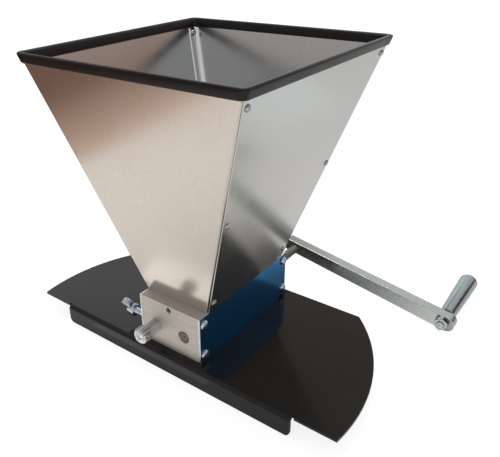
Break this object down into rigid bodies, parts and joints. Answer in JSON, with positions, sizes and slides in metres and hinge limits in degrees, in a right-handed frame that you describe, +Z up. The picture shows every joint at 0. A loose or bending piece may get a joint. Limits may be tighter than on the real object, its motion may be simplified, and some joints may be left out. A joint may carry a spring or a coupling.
{
  "type": "malt mill",
  "caption": "Hand-cranked malt mill: fluted rollers in a block frame under a tapered sheet-metal hopper, with eccentric gap adjusters and a flanged base plate for a bucket.",
  "frame": {"origin": "middle of the discharge opening, in the plane of the base plate's underside", "axes": "+X along the base plate's long axis, towards the crank handle; +Y along the rollers, towards the crank; +Z up"},
  "size_m": [0.3772, 0.3349, 0.2903],
  "materials": {
    "powder_coat": "satin black powder coat",
    "block_aluminium": "brushed",
    "blue_anodised": "blue anodised, bare cut edges",
    "zinc_screws": "bright zinc plate",
    "bush_bronze": "oiled sintered bronze",
    "roller_steel": "fluted steel",
    "bright_plated": "bright plated, knurled",
    "stainless_sheet": "fine brushed stainless",
    "black_trim": "glossy black",
    "crank_zinc": "dull zinc plate",
    "set_screw_steel": "black oxide",
    "grip_steel": "satin steel"
  },
  "bodies": {
    "frame": {"base_plate": "powder_coat", "front_end_block": "block_aluminium", "rear_end_block": "block_aluminium", "left_side_panel": "blue_anodised", "right_side_panel": "blue_anodised", "side_panel_screws": "zinc_screws", "base_screws": "zinc_screws", "front_drive_bush": "bush_bronze", "rear_drive_bush": "bush_bronze", "lip_screws": "zinc_screws", "hopper_front_panel": "stainless_sheet", "hopper_back_panel": "stainless_sheet", "hopper_left_panel": "stainless_sheet", "hopper_right_panel": "stainless_sheet", "hopper_screws": "zinc_screws", "hopper_nuts": "zinc_screws", "rim_trim": "black_trim"},
    "drive": {"drive_roller": "roller_steel", "crank_arm": "crank_zinc", "crank_set_screw": "set_screw_steel", "handle_bolt": "crank_zinc", "handle_nut": "crank_zinc"},
    "grip": {"handle_grip": "grip_steel"},
    "front_adjust": {"front_adjuster": "bright_plated"},
    "rear_adjust": {"rear_adjuster": "bright_plated"},
    "idler": {"idler_roller": "roller_steel"},
    "front_lock": {"front_lock_screw": "bright_plated"},
    "rear_lock": {"rear_lock_screw": "bright_plated"}
  },
  "joints": [
    {"name": "crank_turn", "type": "hinge", "parent": "frame", "child": "drive", "pos_m": [0.0166, 0, 0.0237], "axis": [0, 1, 0], "continuous": true},
    {"name": "grip_spin", "type": "hinge", "parent": "drive", "child": "grip", "pos_m": [0.18868, 0.18, -0.00587], "axis": [0, 1, 0], "continuous": true},
    {"name": "front_gap_turn", "type": "hinge", "parent": "frame", "child": "front_adjust", "pos_m": [-0.0166, -0.06175, 0.0237], "axis": [0, 1, 0], "range_deg": [-115, 65]},
    {"name": "rear_gap_turn", "type": "hinge", "parent": "frame", "child": "rear_adjust", "pos_m": [-0.0166, 0.06175, 0.0237], "axis": [0, 1, 0], "range_deg": [-115, 65]},
    {"name": "idler_spin", "type": "hinge", "parent": "front_adjust", "child": "idler", "pos_m": [-0.01618, 0, 0.02461], "axis": [0, 1, 0], "continuous": true},
    {"name": "front_lock_turn", "type": "hinge", "parent": "frame", "child": "front_lock", "pos_m": [-0.05, -0.06725, 0.0237], "axis": [1, 0, 0], "range_deg": [0, 360]},
    {"name": "rear_lock_turn", "type": "hinge", "parent": "frame", "child": "rear_lock", "pos_m": [-0.05, 0.06725, 0.0237], "axis": [1, 0, 0], "range_deg": [0, 360]}
  ],
  "couplings": [
    {"joint": "rear_gap_turn", "follows": "front_gap_turn", "ratio": 1}
  ]
}
